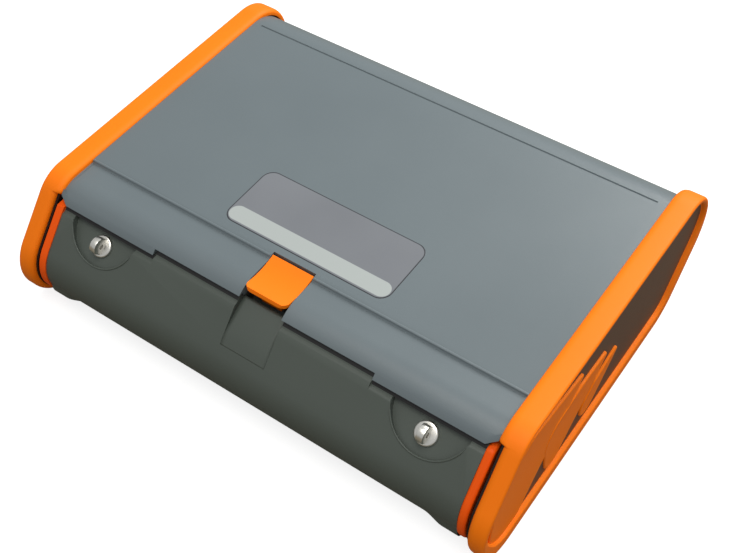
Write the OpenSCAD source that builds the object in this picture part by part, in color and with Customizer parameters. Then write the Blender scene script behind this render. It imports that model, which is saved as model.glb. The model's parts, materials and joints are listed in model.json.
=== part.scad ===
// Electrical installation tester: a carrying case with a hinged lid between two side bumpers.
// X runs along the width, Y from the latch edge to the hinge edge, Z up.
// The origin is the centre of the footprint, on the surface that the tester stands on.

/* [Case] */
// Width over the two side bumpers
case_w = 288; // [286:1:292]
// Depth from the front nose to the rear
case_d = 223; // [222:0.5:224]
// Height over the bumpers
case_h = 75; // [74.6:0.1:75.6]
// Wall of the housings
wall = 2.6; // [2.2:0.1:2.8]
// How far the lid's skin lies inside the bumpers' outline
lid_inset = 2.15; // [2.05:0.05:2.3]
// How far the front apron lies inside the bumpers' outline
apron_inset = 2.5; // [2.4:0.05:2.7]
// How far the base's skin lies inside the bumpers' outline
base_inset = 5.1; // [5:0.05:5.3]
// Drop from the top of the bumpers to the base's rim
rim_drop = 11.5; // [11.3:0.1:11.8]
// Gap between the lid's edge and the base's rim
seam_gap = 1.1; // [0.8:0.1:1.2]
// Rise of the seam in its middle part
seam_rise = 2.4; // [2:0.1:2.6]
// Length of the seam on either side of its raised part
seam_end = 78; // [74:1:84]

/* [Bumpers] */
// Depth of a bumper's band below the seam, along the width
band_low = 8.5; // [8.3:0.1:8.8]
// Depth of a bumper's band above the seam, along the width
band_top = 12.7; // [12.6:0.1:13]
// Height of the band, seen from the side
band_h = 8.5; // [8:0.1:9]
// Depth of the side recess inside the band
recess = 2.5; // [2:0.1:3]
// Thickness of the grip blades
blade_t = 1.6; // [1.2:0.1:1.9]
// Thickness of the base's end bumpers
end_bumper_t = 4.4; // [4.2:0.1:4.5]

/* [Hinge and latch] */
// Drop from the top of the bumpers to the lid's hinge axis
hinge_drop = 32; // [31.8:0.1:32.2]
// Distance of the lid's hinge axis from the rear
hinge_back = 36.5; // [36:0.1:37]
// Radius of the base's barrel round the hinge axis
barrel_r = 26.8; // [26.5:0.1:26.9]
// Diameter of the hinge pins
hinge_pin_d = 8; // [6:0.5:9]
// Width of the latch
latch_w = 24.8; // [24:0.1:25.2]
// Running clearance of a pin in its bore
run_gap = 0.05; // [0.03:0.01:0.08]

/* [Panel] */
// Drop from the base's rim to the front panel
panel_drop = 2.5; // [2.3:0.1:2.7]
// Thickness of the front panel
panel_t = 2.6; // [2.2:0.1:2.8]
// Width of the display's viewing area
view_w = 98; // [90:1:100]
// Height of the display's viewing area
view_h = 72; // [60:1:74]
// Radius of the selector knob
knob_r = 17; // [14:0.5:19]
// Number of test sockets
socket_n = 5; // [3:1:6]
// Distance between test sockets
socket_pitch = 24; // [19:1:24]
// Diameter of the plug that a test socket takes
plug_d = 4; // [4:0.1:4.2]

/* [Hidden] */
overrun = 1;
fit_gap = 0.3;
arc_steps = 18;
belt_steps = 90;

// Side outline: circles [y, z, radius], with the bumpers stretched round them
half_w = case_w/2;
front_y = -case_d/2;
rear_y = case_d/2;
nose_r = 27;
nose = [front_y + nose_r, nose_r + 0.8];
brow_r = 22;
brow = [front_y + 42, case_h - brow_r];
rump_r = 26.8;
rump = [rear_y - rump_r, case_h - rump_r];
heel_r = 27.4;
heel = [rear_y - 46.5, heel_r + 0.8];
SIDE = [[nose[0], nose[1], nose_r], [brow[0], brow[1], brow_r], [rump[0], rump[1], rump_r],
    [heel[0], heel[1], heel_r]];
hinge = [rear_y - hinge_back, case_h - hinge_drop];
rim_z = case_h - rim_drop;
seam_half = half_w - seam_end;

// The straight slope between the nose and the brow
slope_run = brow - nose;
slope_a = atan2(slope_run[1], slope_run[0]) + acos((nose_r - brow_r)/norm(slope_run));
slope_s = brow[0]*cos(slope_a) + brow[1]*sin(slope_a) + brow_r;
lean = 1.9;
lean_end = 217;
function slope_y(z, inset) = (slope_s - inset - z*sin(slope_a))/cos(slope_a);

function arc(c, r, a0, a1, n = arc_steps) =
    [for (i = [0:n]) let(a = a0 + (a1 - a0)*i/n) [c[0] + r*cos(a), c[1] + r*sin(a)]];
function reach(c, a) = c[0]*cos(a) + c[1]*sin(a) + c[2];
function farthest(circles, a) =
    let(s = [for (c = circles) reach(c, a)]) [for (i = [0:len(s) - 1]) if (s[i] == max(s)) i][0];
function belt(circles, inset = 0) =
    [for (i = [0:belt_steps - 1]) let(a = 360*i/belt_steps, c = circles[farthest(circles, a)])
        [c[0] + (c[2] - inset)*cos(a), c[1] + (c[2] - inset)*sin(a)]];
function round_rect(w, h, r) = concat(
    arc([w/2 - r, h/2 - r], r, 0, 90, 6), arc([r - w/2, h/2 - r], r, 90, 180, 6),
    arc([r - w/2, r - h/2], r, 180, 270, 6), arc([w/2 - r, r - h/2], r, 270, 360, 6));

// Base section: slope, nose, floor, step and barrel. The slope leans out from the bumpers' own line
tail_y = rear_y - 54.5;
base_floor = nose[1] - nose_r + base_inset;
function base_section(inset, radius, top) = let(
    grow = inset - base_inset, ty = tail_y - max(grow, 0)) concat(
    [[slope_y(top, inset - lean), top]],
    [for (i = [0:arc_steps]) let(a = slope_a + (270 - slope_a)*i/arc_steps,
        out = lean*max(0, (lean_end - a)/(lean_end - slope_a)))
        nose + (nose_r - inset + out)*[cos(a), sin(a)]],
    [[ty, nose[1] - nose_r + inset]],
    arc(hinge, radius, -acos((ty - hinge[0])/radius), asin((top - hinge[1])/radius), 30));

// Rim of the base's front: a wall with a sloping shoulder and a tongue behind it, lifted in the middle
front_in = base_inset - lean;
shoulder_out = 0.9;
tongue_in = 1.3;
shoulder_low = rim_z - 3.3;
shoulder_z = rim_z - 1.8;
rim_cut_z = rim_z - 6;
function rim_section(lift) = [
    [slope_y(rim_cut_z, front_in), rim_cut_z], [slope_y(shoulder_low + lift, front_in), shoulder_low + lift],
    [slope_y(shoulder_z + lift, front_in + shoulder_out), shoulder_z + lift],
    [slope_y(shoulder_z + lift, front_in + tongue_in), shoulder_z + lift],
    [slope_y(rim_z + lift, front_in + tongue_in), rim_z + lift],
    [slope_y(rim_z + lift, front_in + wall), rim_z + lift],
    [slope_y(rim_cut_z, front_in + wall), rim_cut_z]];

// Lid section: apron, ridge, top and rear curve
lid_z = case_h - lid_inset;
ridge_y = front_y + 53.2;
ridge_drop = 1.3;
strip_y = rear_y - 30.8;
lid_r = 26.45;
strip = [strip_y, lid_z - lid_r];
lid_end_z = hinge[1] + 1;
groove_y = rear_y - 30.3;
label_w = 95;
label_h = 36;
label_y = front_y + 80.9;
lid_edge_z = rim_z + seam_gap;
function lid_skin(t) = concat(
    [[slope_y(lid_edge_z, apron_inset + t), lid_edge_z]],
    [for (i = [0:8]) let(a = slope_a + (90 - slope_a)*i/8)
        brow + (brow_r - apron_inset - ridge_drop*i/8 - t)*[cos(a), sin(a)]],
    t == 0 ? [[ridge_y, brow[1] + brow_r - apron_inset - ridge_drop],
        [ridge_y + 1, lid_z - 0.5], [ridge_y + 3, lid_z]] : [],
    arc(strip, lid_r - t, 90, asin((lid_end_z - strip[1])/(lid_r - t)), 20));
function flip(list) = [for (i = [len(list) - 1:-1:0]) list[i]];

// Widths along X
band_x = half_w - band_low;
lid_half = half_w - band_top;
flange_x = band_x - 2.4;
base_half = half_w - 16.6;
bumper_x = base_half + end_bumper_t;
cheek_face = half_w - recess;
flange_inset = 3.5;

// Latch
latch_half = latch_w/2;
notch_half = latch_half + 0.4;
rib_t = 1.8;
notch_y = ridge_y + 4;
latch_back = notch_y - 1.6;
latch_lip = latch_back - 23.2;
latch_top = lid_z - 0.35;
latch_t = 2.2;
latch_dip_r = 36;
pivot = [latch_back - 7.5, lid_z - 5.6];
pivot_pin_r = 1.2;
pivot_r = 2.5;
spring_half = 3.5;
spring_room_r = 2.1;
rib_z = rim_z + 0.9;

// Finger scoop in the base's front
scoop_half = 13.5;
scoop_r = 45;
scoop_low_z = rim_z - 16.5;
scoop_low = [slope_y(scoop_low_z, base_inset - lean), scoop_low_z];
scoop_back = [front_y + 42.5, rim_z - 5.5];
scoop_run = scoop_back - scoop_low;
scoop_rise = sqrt(pow(scoop_r, 2) - pow(norm(scoop_run)/2, 2));
scoop_c = (scoop_low + scoop_back)/2 + [-scoop_run[1], scoop_run[0]]/norm(scoop_run)*scoop_rise;

// Hook and keeper: their faces lie square to the line from the latch's pivot
keeper_half = 6;
keeper_out = 1.9;
keeper_top = rim_z + 0.9;
hook_c = [scoop_back[0] - 1, keeper_top - 2.4];
hook_dir = (hook_c - pivot)/norm(hook_c - pivot);
hook_gap = 0.35;
function hook_face(y, gap) = let(p = hook_c + hook_dir*gap)
    p[1] - (y - p[0])*hook_dir[0]/hook_dir[1];
leg_y = scoop_back[0] - 3.4;
leg_t = 1.8;
leg_z = hook_c[1] - 2.2;

// Strap lugs
lug_x = half_w - 45;
lug_down = 11.5;
dish_r = 21;
dish_deep = 5;
dish_tilt = 10.3;
lug_flange_r = 6;
lug_eye_r = 4;
lug_eye_z = 3.8;
lug_hole_r = 1.4;
lug_shank_r = 2.5;
lug_boss_r = 7;
insert_r = 4.2;
insert_l = 8;

// Inside
panel_z = rim_z - panel_drop;
panel_under = panel_z - panel_t;
panel_half = base_half - wall - 0.6;
panel_front = slope_y(panel_z, front_in + wall) + 0.6;
gasket_rise = 0.4;
panel_rear = hinge[0] + sqrt(pow(barrel_r - wall, 2) - pow(panel_z + gasket_rise - hinge[1], 2)) - 0.6;
ledge_in = front_y + 38.5;
ledge_x = lug_x - dish_r - wall - 0.4;
board_t = 1.6;
relay = [20, 32, 14];
relay_pitch = 27;
relay_in = 22;
relay_n = 4;
fuse_r = 5;
fuse_l = 38;
fuse_pitch = 24;
fuse_in = 72;
fuse_y = -20;
clip_w = 6;
clip_t = 2;
rail_t = 2.9;
rail_front = 33.5;
rail_rear = 55.5;
rail_h = 8;
main_z = panel_z - 9;
meter_z = main_z - 18;
board_half = panel_half - 13.4;
board_front = front_y + 43.5;
main_rear = rear_y - 48.9;
meter_rear = rear_y - 45.5;
post_x = panel_half - 6.4;
post_ys = [front_y + 51.5, 0, rear_y - 63.5];
post_r = 4;
screw_r = 1.5;
stud_x = board_half - 8;
stud_ys = [board_front + 8, main_rear - 3.7];
stud_r = 3.5;
inner_floor = base_floor + wall;

// Display
view = [view_w/2 + 11 - post_x + post_r - 6, 14];
window_w = view_w + 8;
window_h = view_h + 8;
window_t = 1.4;

// Keys: [name, x, y, width, height]
key_z = panel_z + 2.2;
key_low = panel_under - 1.8;
key_flange_z = panel_under - 0.4;
key_lip = 1;
key_gap = 0.4;
start_r = 10;
start_at = [half_w - 124, front_y + 69.5];
fkey_pitch = 24;
fkey_w = 18;
fkey_h = 9;
key_w = 14;
key_h = 10;
mat_edge = 5;
mat_t = 1.6;
FKEYS = [["key_f1", -1.5], ["key_f2", -0.5], ["key_f3", 0.5], ["key_f4", 1.5]];
PADKEYS = [["key_escape", -1, 1], ["key_up", 0, 1], ["key_light", 1, 1],
    ["key_left", -1, 0], ["key_enter", 0, 0], ["key_right", 1, 0],
    ["key_help", -1, -1], ["key_down", 0, -1], ["key_power", 1, -1]];
fkey_y = front_y + 67.5;
pad_at = [half_w - 70, front_y + 69.5];
pad_step = [20, 15];
KEYS = concat([for (k = FKEYS) [k[0], view[0] + k[1]*fkey_pitch, fkey_y, fkey_w, fkey_h]],
    [for (k = PADKEYS) [k[0], pad_at[0] + k[1]*pad_step[0], pad_at[1] + k[2]*pad_step[1], key_w,
        key_h]]);

// Selector
dial = [pad_at[0], pad_at[1] + 66];
dial_r = 30;
shaft_r = 3;
bush_r = 4.5;
knob_z = panel_z + 1;
knob_top = knob_z + 7;

// Sockets
socket_y = rear_y - 38.5;
socket_x0 = -3*socket_pitch;
socket_r = 6;
socket_flange_r = 8;
socket_z = panel_z - 19;
contact_r = 3.4;
aux_at = [half_w - 84, socket_y];
aux_r = 9;
usb_at = [40 - half_w, socket_y];
usb_deep = 13;
usb_w = 12;
usb_h = 11;

// Battery
pack_half = 61;
pack_y = 28;
pack_top = base_floor + 18.7;
cell_r = 7.25;
cell_l = 50.5;
cell_n = 8;
cell_pitch = 14.9;
contact_w = 24;
cover_t = 2.5;

// Grip blades: circles [share of the depth, share of the height, radius], each blade a belt round its own
blade_shares = [
    [[0.0964, 0.4267, 12], [0.1771, 0.62, 17.5], [0.3879, 0.7933, 1.5]],
    [[0.3072, 0.24, 8], [0.3161, 0.44, 14.5], [0.4731, 0.5467, 8], [0.5, 0.6467, 1.5]],
    [[0.4641, 0.2667, 8.5], [0.5179, 0.3733, 10], [0.565, 0.5067, 1.5]]];

// Screws between the cheeks and the lid
cheek_screw_ys = [front_y + 49.5, -6, rear_y - 61.5];
cheek_screw_z = lid_z - 6.3;
head_h = 1.4;
cheek_screw_r = 1.25;

// Draws a side outline, in Y and Z, as a slab from x0 to x1
module along_x(x0, x1) {
    translate([x0, 0, 0]) rotate([90, 0, 90]) linear_extrude(x1 - x0) children();
}

// Builds a right hand piece, or its mirror image
module sided(side) {
    if (side > 0) children();
    else mirror([1, 0, 0]) children();
}

// Frame on the slope: Z out of it, Y up it
module on_slope(x, z, inset) {
    translate([x, slope_y(z, inset), z]) rotate([slope_a - 90, 0, 0]) children();
}

// Frame on the floor of a lug's dish
module lug_frame(side) {
    on_slope(side*lug_x, rim_z, front_in) translate([0, 0, -dish_deep])
        rotate([-dish_tilt, 0, 0]) children();
}

module base_block(x, inset, radius, top) {
    along_x(-x, x) polygon(base_section(inset, radius, top));
}

module scoop_shape(grow) {
    intersection() {
        translate(scoop_c) circle(scoop_r + grow, $fn = 96);
        translate([front_y, base_floor])
            square([scoop_back[0] + grow - front_y, case_h - base_floor]);
    }
}

// Everything that stands inside the base's shell
module base_inside() {
    for (side = [-1, 1]) {
        lug_frame(side) translate([0, 0, -wall]) cylinder(r = dish_r + wall, h = 20, $fn = 96);
        lug_frame(side) translate([0, -lug_down, -insert_l - wall])
            cylinder(r = lug_boss_r, h = insert_l + wall, $fn = 48);
        translate([side > 0 ? ledge_x + 2*fit_gap : -panel_half - 1, front_y, panel_under])
            cube([panel_half + 1 - ledge_x - 2*fit_gap, ledge_in - front_y, panel_t]);
        translate([side*(base_half - 5), hinge[0], hinge[1]]) rotate([0, 90, 0])
            cylinder(r = 7, h = 10, center = true, $fn = 48);
        for (y = post_ys) translate([side*post_x, y, base_floor])
            cylinder(r = post_r, h = panel_under - base_floor, $fn = 32);
        for (y = stud_ys) translate([side*stud_x, y, base_floor])
            cylinder(r = stud_r, h = meter_z - base_floor, $fn = 32);
    }
    along_x(-scoop_half - wall, scoop_half + wall) scoop_shape(wall);
    translate([-pack_half - wall, -pack_y - wall, base_floor])
        cube([2*(pack_half + wall), 2*(pack_y + wall), pack_top + wall - base_floor]);
}

// Room at the top of the front wall, which the rim's own section fills
module rim_room() {
    polygon([[front_y, rim_cut_z], [slope_y(rim_cut_z, front_in + wall) - 0.01, rim_cut_z],
        [slope_y(rim_z + overrun, front_in + wall) - 0.01, rim_z + overrun], [front_y, rim_z + overrun]]);
}

module base_tub() {
    color([0.27, 0.29, 0.28])
    difference() {
        union() {
            difference() {
                base_block(base_half, base_inset, barrel_r, rim_z);
                base_block(base_half - wall, base_inset + wall, barrel_r - wall, rim_z + overrun);
                along_x(-base_half - overrun, base_half + overrun) rim_room();
            }
            along_x(-base_half, base_half) polygon(rim_section(0));
            along_x(-seam_half, seam_half) polygon(rim_section(seam_rise));
            intersection() {
                difference() {
                    base_block(base_half - overrun, base_inset + 0.2, barrel_r - 0.2, rim_z);
                    along_x(-base_half, base_half) rim_room();
                }
                base_inside();
            }
            for (side = [-1, 1]) translate([side*(bumper_x - 3), hinge[0], hinge[1]])
                rotate([0, 90, 0]) cylinder(r = 7, h = 6, center = true, $fn = 48);
        }
        along_x(-scoop_half, scoop_half) scoop_shape(0);
        along_x(-keeper_half - 2, keeper_half + 2)
            translate([scoop_back[0] - overrun, keeper_top - 4.4]) square([overrun + 1.1, 4.6]);
        for (side = [-1, 1]) {
            lug_frame(side) cylinder(r = dish_r, h = 30, $fn = 96);
            lug_frame(side) translate([0, -lug_down, -insert_l - 0.5])
                cylinder(r = insert_r, h = insert_l + 0.5 + overrun, $fn = 48);
            translate([side*(base_half - 2), hinge[0], hinge[1]]) rotate([0, 90, 0])
                cylinder(d = hinge_pin_d, h = 20, center = true, $fn = 48);
            for (y = post_ys) translate([side*post_x, y, panel_under - 12])
                cylinder(r = screw_r, h = 12 + overrun, $fn = 24);
            for (y = stud_ys) translate([side*stud_x, y, meter_z - 8])
                cylinder(r = screw_r, h = 8 + overrun, $fn = 24);
            translate([side*(pack_half - 5), pack_y + 4.6, base_floor - overrun])
                cylinder(r = screw_r, h = 8, $fn = 24);
        }
        translate([-pack_half, -pack_y, base_floor - overrun])
            cube([2*pack_half, 2*pack_y, pack_top + overrun - base_floor]);
        translate([0, 0, base_floor - overrun]) linear_extrude(cover_t + overrun)
            polygon(round_rect(2*pack_half + 8, 2*pack_y + 20, 5));
    }
}

module end_bumper(side) {
    color([0.9, 0.32, 0.05])
    sided(side) difference() {
        along_x(base_half, bumper_x) polygon(base_section(base_inset - 1.6, barrel_r - 2, rim_z));
        translate([bumper_x, hinge[0], hinge[1]]) rotate([0, 90, 0])
            cylinder(r = 7 + fit_gap, h = 12, center = true, $fn = 48);
    }
}

module feet() {
    foot_w = 22;
    foot_l = 18;
    foot_out = 2.4;
    foot_x = base_half - foot_w - 2.6;
    color([0.12, 0.12, 0.12])
    for (side = [-1, 1]) sided(side) {
        along_x(foot_x, foot_x + foot_w) polygon(concat(arc(nose, nose_r - base_inset, lean_end + 3, 270, 10),
            [[nose[0] + 16, base_floor], [nose[0] + 15, 0], [nose[0] - 4, 0]],
            arc(nose, nose_r - base_inset + foot_out, 262, lean_end + 3, 10)));
        translate([foot_x + foot_w/2, tail_y - 15, 0]) linear_extrude(base_floor)
            polygon(round_rect(foot_w, foot_l, 4));
    }
}

module strap_lugs() {
    color([0.8, 0.8, 0.78])
    for (side = [-1, 1]) lug_frame(side) translate([0, -lug_down, 0]) difference() {
        union() {
            cylinder(r = lug_flange_r, h = 1.6, $fn = 48);
            translate([0, 0, lug_eye_z]) rotate([0, 90, 0])
                cylinder(r = lug_eye_r, h = 3.2, center = true, $fn = 48);
            translate([-1.6, -lug_eye_r, 1]) cube([3.2, 2*lug_eye_r, lug_eye_z - 1]);
            translate([0, 0, -insert_l]) cylinder(r = lug_shank_r, h = insert_l + 1, $fn = 32);
        }
        translate([0, 0, lug_eye_z]) rotate([0, 90, 0])
            cylinder(r = lug_hole_r, h = 10, center = true, $fn = 32);
    }
}

module lug_inserts() {
    color([0.75, 0.6, 0.3])
    for (side = [-1, 1]) lug_frame(side) translate([0, -lug_down, -insert_l]) difference() {
        cylinder(r = insert_r, h = insert_l, $fn = 48);
        translate([0, 0, -overrun]) cylinder(r = lug_shank_r, h = insert_l + 2*overrun, $fn = 32);
    }
}

module hinge_pins() {
    color([0.7, 0.7, 0.72])
    for (side = [-1, 1]) sided(side) translate([base_half - 9, hinge[0], hinge[1]])
        rotate([0, 90, 0]) cylinder(d = hinge_pin_d, h = cheek_face - 3 - base_half + 9, $fn = 48);
}

module hinge_washers() {
    color([0.15, 0.15, 0.15])
    for (side = [-1, 1]) sided(side) translate([bumper_x, hinge[0], hinge[1]])
        rotate([0, 90, 0]) difference() {
            cylinder(r = 7, h = flange_x - bumper_x - fit_gap, $fn = 48);
            translate([0, 0, -overrun]) cylinder(d = hinge_pin_d, h = 4, $fn = 48);
        }
}

module latch_keeper() {
    color([0.7, 0.7, 0.7])
    union() {
        along_x(-keeper_half - 2, keeper_half + 2)
            translate([scoop_back[0], keeper_top - 4.4]) square([1.1, 4.6]);
        along_x(-keeper_half, keeper_half) polygon([
            [scoop_back[0] + 0.5, keeper_top], [scoop_back[0] - keeper_out, keeper_top],
            for (y = [scoop_back[0] - keeper_out, scoop_back[0] + 0.5]) [y, hook_face(y, 0)]]);
    }
}

module battery_cells() {
    color([0.2, 0.35, 0.6])
    for (i = [0:cell_n - 1]) {
        x = (i - (cell_n - 1)/2)*cell_pitch;
        translate([x, cell_l/2, pack_top - cell_r - 0.4]) rotate([90, 0, 0])
            cylinder(r = cell_r, h = cell_l - 1, $fn = 48);
        translate([x, cell_l/2 - cell_l + 1.5, pack_top - cell_r - 0.4]) rotate([90, 0, 0])
            cylinder(r = 2.75, h = 1.5, $fn = 32);
    }
}

module battery_contacts() {
    color([0.8, 0.78, 0.7])
    for (i = [0:cell_n/2 - 1], end = [-1, 1])
        translate([(2*i - (cell_n - 2)/2)*cell_pitch - contact_w/2, end > 0 ? pack_y - 2 : -pack_y, base_floor + 4])
            cube([contact_w, 2, pack_top - base_floor - 5]);
}

module battery_cover() {
    color([0.27, 0.29, 0.28])
    difference() {
        translate([0, 0, base_floor]) linear_extrude(cover_t - 0.1)
            polygon(round_rect(2*pack_half + 8 - 2*fit_gap, 2*pack_y + 20 - 2*fit_gap, 5));
        for (side = [-1, 1]) translate([side*(pack_half - 5), pack_y + 4.6, base_floor - overrun]) {
            cylinder(r = screw_r + 0.1, h = 8, $fn = 24);
            cylinder(r = 3, h = overrun + 1.3, $fn = 32);
        }
    }
}

module battery_screws() {
    color([0.75, 0.75, 0.75])
    for (side = [-1, 1]) translate([side*(pack_half - 5), pack_y + 4.6, base_floor]) {
        translate([0, 0, 0.1]) cylinder(r = 2.7, h = 1.2, $fn = 32);
        cylinder(r = screw_r, h = 6.5, $fn = 24);
    }
}

// A circuit board with holes for the spacers
module board(z, rear) {
    difference() {
        translate([-board_half, board_front, z]) cube([2*board_half, rear - board_front, board_t]);
        for (side = [-1, 1], y = stud_ys) translate([side*stud_x, y, z - overrun])
            cylinder(r = screw_r, h = board_t + 2*overrun, $fn = 24);
    }
}

module meter_board() {
    color([0.1, 0.35, 0.2]) board(meter_z, meter_rear);
}

module main_board() {
    color([0.1, 0.35, 0.2]) board(main_z, main_rear);
}

module board_spacers() {
    color([0.8, 0.7, 0.4])
    for (side = [-1, 1], y = stud_ys) translate([side*stud_x, y, 0]) {
        translate([0, 0, meter_z + board_t])
            cylinder(r = 3, h = main_z - meter_z - board_t, $fn = 6);
        translate([0, 0, meter_z - 7]) cylinder(r = screw_r, h = main_z + board_t - meter_z + 7, $fn = 24);
        translate([0, 0, main_z + board_t]) cylinder(r = 2.6, h = 1.6, $fn = 32);
    }
}

module relay_block() {
    color([0.2, 0.25, 0.35])
    for (i = [0:relay_n - 1]) translate([relay_in - board_half + i*relay_pitch, 2 - relay[1], meter_z + board_t])
        cube(relay);
}

module fuse_link() {
    fuse_z = fuse_r + 0.2;
    color([0.85, 0.85, 0.8])
    for (i = [0:1]) translate([board_half - fuse_in, fuse_y + i*fuse_pitch, meter_z + board_t + fuse_z]) {
        rotate([0, 90, 0]) cylinder(r = fuse_r, h = fuse_l, $fn = 32);
        for (x = [clip_t, fuse_l - clip_w - clip_t]) translate([x, -clip_w/2, -fuse_z])
            cube([clip_w, clip_w, clip_t]);
    }
}

module key_pads(grow, low, high) {
    for (k = KEYS) translate([k[1], k[2], low]) linear_extrude(high - low)
        polygon(round_rect(k[3] + 2*grow, k[4] + 2*grow, 2 + grow));
    translate([start_at[0], start_at[1], low]) cylinder(r = start_r + grow, h = high - low, $fn = 48);
}

module keypad_mat() {
    pad_left = start_at[0] - start_r - key_lip;
    pad_right = pad_at[0] + pad_step[0] + key_w/2 - 2;
    color([0.3, 0.3, 0.3])
    for (area = [[view[0], fkey_y, 3*fkey_pitch + fkey_w + 2*mat_edge, fkey_h + mat_edge],
            [(pad_left + pad_right)/2, pad_at[1], pad_right - pad_left, 2*pad_step[1] + key_h + 6]])
        translate([area[0], area[1], main_z + board_t]) linear_extrude(mat_t)
            polygon(round_rect(area[2], area[3], 3));
}

module display_module() {
    color([0.75, 0.77, 0.75])
    translate([view[0], view[1], main_z + board_t]) {
        linear_extrude(3.6) polygon(round_rect(view_w + 8, view_h + 10, 1.5));
        translate([0, 0, 3.6]) linear_extrude(panel_under - main_z - board_t - 3.6 + 0.6)
            polygon(round_rect(view_w - 1, view_h - 1, 1));
    }
}

module selector_switch() {
    color([0.5, 0.5, 0.5])
    translate([dial[0], dial[1], 0]) difference() {
        union() {
            translate([-8, -8, main_z + board_t]) cube([16, 16, 4.2]);
            translate([0, 0, main_z + board_t + 4]) cylinder(r = bush_r, h = 3, $fn = 48);
        }
        translate([0, 0, main_z + board_t + 2])
            cylinder(r = shaft_r + run_gap, h = 10, $fn = 48);
    }
}

// Plan of the panel, with its front corners and the scoop left out
module panel_plan(grow) {
    difference() {
        translate([-panel_half - grow, panel_front - grow])
            square([2*(panel_half + grow), panel_rear - panel_front + 2*grow]);
        for (side = [-1, 1]) translate([side > 0 ? ledge_x + grow : -panel_half - 9, front_y])
            square([panel_half + 9 - ledge_x - grow, ledge_in + 0.4 - grow - front_y]);
        translate([-scoop_half - wall - 0.4 + grow, front_y])
            square([2*(scoop_half + wall + 0.4 - grow), scoop_back[0] + wall + 0.4 - grow - front_y]);
    }
}

module panel_gasket() {
    color([0.1, 0.1, 0.1])
    translate([0, 0, panel_z - 1]) linear_extrude(1 + gasket_rise) difference() {
        panel_plan(0.25);
        panel_plan(-1.5);
    }
}

module front_panel() {
    color([0.2, 0.21, 0.22])
    difference() {
        translate([0, 0, panel_under]) linear_extrude(panel_t) panel_plan(0);
        translate([0, 0, panel_z - 1]) linear_extrude(1 + overrun) difference() {
            panel_plan(1);
            panel_plan(-1.5);
        }
        translate([view[0], view[1], panel_under - overrun]) linear_extrude(panel_t + 2*overrun)
            polygon(round_rect(view_w, view_h, 2));
        translate([view[0], view[1], panel_z - window_t + 0.2]) linear_extrude(2)
            polygon(round_rect(window_w, window_h, 3));
        key_pads(key_gap, panel_under - overrun, panel_z + overrun);
        translate([dial[0], dial[1], panel_under - overrun])
            cylinder(r = bush_r + fit_gap, h = panel_t + 2*overrun, $fn = 48);
        for (i = [0:socket_n - 1])
            translate([socket_x0 + i*socket_pitch, socket_y, panel_under - overrun])
                cylinder(r = socket_r, h = panel_t + 2*overrun, $fn = 48);
        translate([aux_at[0], aux_at[1], panel_under - overrun])
            cylinder(r = aux_r, h = panel_t + 2*overrun, $fn = 48);
        translate([usb_at[0], usb_at[1], panel_under - overrun]) linear_extrude(panel_t + 2*overrun)
            polygon(round_rect(usb_w, usb_h, 1));
        for (side = [-1, 1], y = post_ys) translate([side*post_x, y, panel_under - overrun])
            cylinder(r = screw_r, h = panel_t + 2*overrun, $fn = 24);
    }
}

module panel_screws() {
    color([0.75, 0.75, 0.75])
    for (side = [-1, 1], y = post_ys) translate([side*post_x, y, 0]) {
        translate([0, 0, panel_z]) cylinder(r = 2.8, h = 1.6, $fn = 32);
        translate([0, 0, panel_under - 10]) cylinder(r = screw_r, h = panel_z - panel_under + 11, $fn = 24);
    }
}

module display_window() {
    color([0.6, 0.7, 0.75])
    translate([view[0], view[1], panel_z - window_t + 0.2]) linear_extrude(window_t)
        polygon(round_rect(window_w - 0.2, window_h - 0.2, 3));
}

module display_bezel() {
    color([0.12, 0.12, 0.13])
    translate([view[0], view[1], panel_z + 0.2]) linear_extrude(0.8) difference() {
        polygon(round_rect(window_w - 0.2, window_h - 0.2, 3));
        polygon(round_rect(view_w + 2, view_h + 2, 2));
    }
}

module dial_ring() {
    color([0.55, 0.56, 0.58])
    translate([dial[0], dial[1], panel_z]) difference() {
        cylinder(r = dial_r, h = 0.6, $fn = 96);
        translate([0, 0, -overrun]) cylinder(r = bush_r + fit_gap, h = 3, $fn = 48);
    }
}

module socket_housings() {
    color([0.15, 0.15, 0.15])
    for (i = [0:socket_n - 1]) translate([socket_x0 + i*socket_pitch, socket_y, 0]) difference() {
        union() {
            translate([0, 0, socket_z]) cylinder(r = socket_r, h = panel_z - socket_z + 0.5, $fn = 48);
            translate([0, 0, panel_z]) cylinder(r = socket_flange_r, h = 1.4, $fn = 48);
        }
        translate([0, 0, socket_z - overrun]) cylinder(r = contact_r, h = panel_z - socket_z + 6, $fn = 48);
    }
}

module socket_contacts() {
    color([0.85, 0.72, 0.35])
    for (i = [0:socket_n - 1]) translate([socket_x0 + i*socket_pitch, socket_y, socket_z - 2])
        difference() {
            cylinder(r = contact_r, h = panel_z - socket_z + 1, $fn = 48);
            translate([0, 0, 3]) cylinder(d = plug_d, h = panel_z - socket_z, $fn = 48);
        }
}

module probe_socket() {
    color([0.15, 0.15, 0.15])
    translate([aux_at[0], aux_at[1], 0]) difference() {
        union() {
            translate([0, 0, socket_z + 4]) cylinder(r = aux_r, h = panel_z - socket_z - 4, $fn = 48);
            translate([0, 0, panel_z]) cylinder(r = aux_r + 2, h = 1.4, $fn = 48);
        }
        translate([0, 0, panel_z - 9]) difference() {
            cylinder(r = aux_r - 2, h = 12, $fn = 48);
            for (i = [0:3]) rotate([0, 0, 45 + 90*i]) translate([3.5, 0, -overrun])
                cylinder(r = 0.8, h = 6, $fn = 24);
        }
    }
}

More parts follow.
